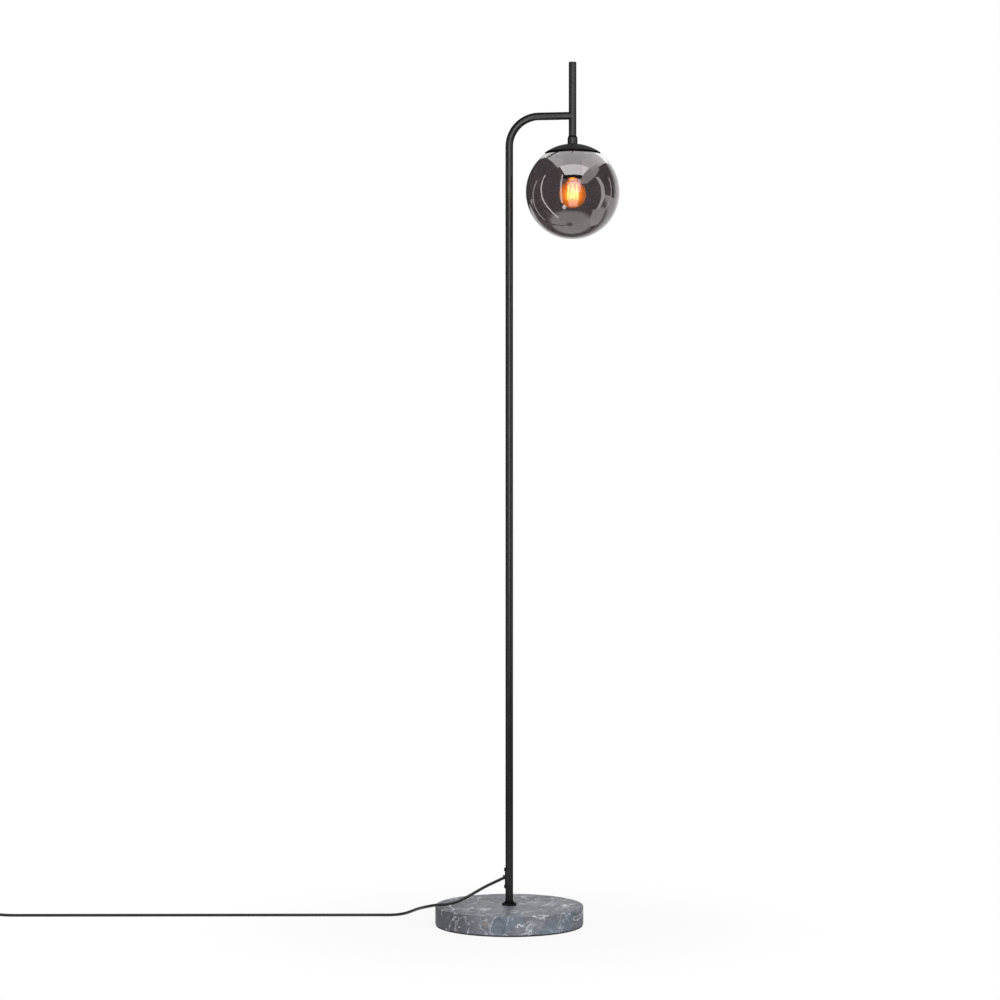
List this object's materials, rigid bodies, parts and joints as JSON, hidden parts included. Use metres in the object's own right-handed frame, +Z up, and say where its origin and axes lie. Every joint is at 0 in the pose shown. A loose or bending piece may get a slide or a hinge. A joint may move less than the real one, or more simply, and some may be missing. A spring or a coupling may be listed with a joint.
{
  "type": "globe floor lamp",
  "caption": "Floor lamp with a round marble base, a slim tube pole bent into a short arm, and a smoked glass globe hung under a vertical rod.",
  "frame": {"origin": "centre of the pad's underside, on the floor under the pole", "axes": "+Z up along the pole, +X along the arm towards the globe, +Y to the back"},
  "size_m": [1.2879, 0.2908, 1.454],
  "materials": {
    "marble": "satin",
    "pad": "matte",
    "black_metal": "satin",
    "dark_screw": "satin",
    "zinc_steel": "satin",
    "ring_aluminium": "satin",
    "smoked_glass": "polished",
    "holder_plastic": "satin",
    "brass": "satin",
    "wire_insulation": "satin",
    "amber_glass": "polished",
    "nickel": "satin",
    "black_vitrite": "gloss",
    "clear_glass": "polished",
    "lead_wire": "satin",
    "filament": "gloss",
    "cord_jacket": "satin",
    "soft_black": "satin",
    "switch_plastic": "satin",
    "button_plastic": "gloss",
    "plug_plastic": "satin"
  },
  "bodies": {
    "lamp": {"marble_disc": "marble", "base_pad": "pad", "switch_pads": "pad", "foot_flange": "black_metal", "lower_pole": "black_metal", "upper_pole": "black_metal", "rod_tube": "black_metal", "rod_plug": "black_metal", "head_collar": "black_metal", "shade_cap": "black_metal", "cable_outlet": "black_metal", "lampholder_sleeve": "black_metal", "outlet_screws": "dark_screw", "base_washer": "zinc_steel", "base_spring_washer": "zinc_steel", "base_nut": "zinc_steel", "base_stud": "zinc_steel", "foot_insert": "zinc_steel", "joint_spigot": "zinc_steel", "cap_washer": "zinc_steel", "cap_locknut": "zinc_steel", "cap_nipple": "zinc_steel", "terminal_screws": "zinc_steel", "switch_screws": "zinc_steel", "switch_spring": "zinc_steel", "cap_thread_ring": "ring_aluminium", "lampholder_cap": "holder_plastic", "lampholder_body": "holder_plastic", "lampholder_shell": "brass", "lampholder_contact": "brass", "switch_terminals": "brass", "supply_wires": "wire_insulation", "plug_pins": "nickel", "inner_cable": "cord_jacket", "cord_lead": "cord_jacket", "cord_tail": "cord_jacket", "cord_coil": "cord_jacket", "cord_end": "cord_jacket", "switch_inner_cords": "cord_jacket", "outlet_bush": "soft_black", "switch_reliefs": "soft_black", "plug_relief": "soft_black", "cord_tie": "soft_black", "switch_lower_shell": "switch_plastic", "switch_upper_shell": "switch_plastic", "switch_block": "switch_plastic", "plug_body": "plug_plastic"},
    "globe": {"globe_glass": "smoked_glass", "globe_collar": "ring_aluminium"},
    "bulb": {"bulb_glass": "amber_glass", "bulb_cap": "nickel", "bulb_insulator": "black_vitrite", "bulb_contact": "brass", "bulb_stem": "clear_glass", "bulb_leads": "lead_wire", "bulb_filament": "filament"},
    "switch_button": {"switch_button": "button_plastic"}
  },
  "joints": [
    {"name": "globe_twist", "type": "hinge", "parent": "lamp", "child": "globe", "pos_m": [0.1075, 0, 1.2352], "axis": [0, 0, -1], "range_deg": [0, 540]},
    {"name": "bulb_twist", "type": "hinge", "parent": "lamp", "child": "bulb", "pos_m": [0.1075, 0, 1.23097], "axis": [0, 0, -1], "range_deg": [0, 1440]},
    {"name": "foot_button", "type": "slide", "parent": "lamp", "child": "switch_button", "axis": [0, 0, -1], "range_m": [0, 0.003], "stiffness_N_per_m": 800, "springref_m": -0.0008, "deforming": ["switch_spring"]}
  ]
}
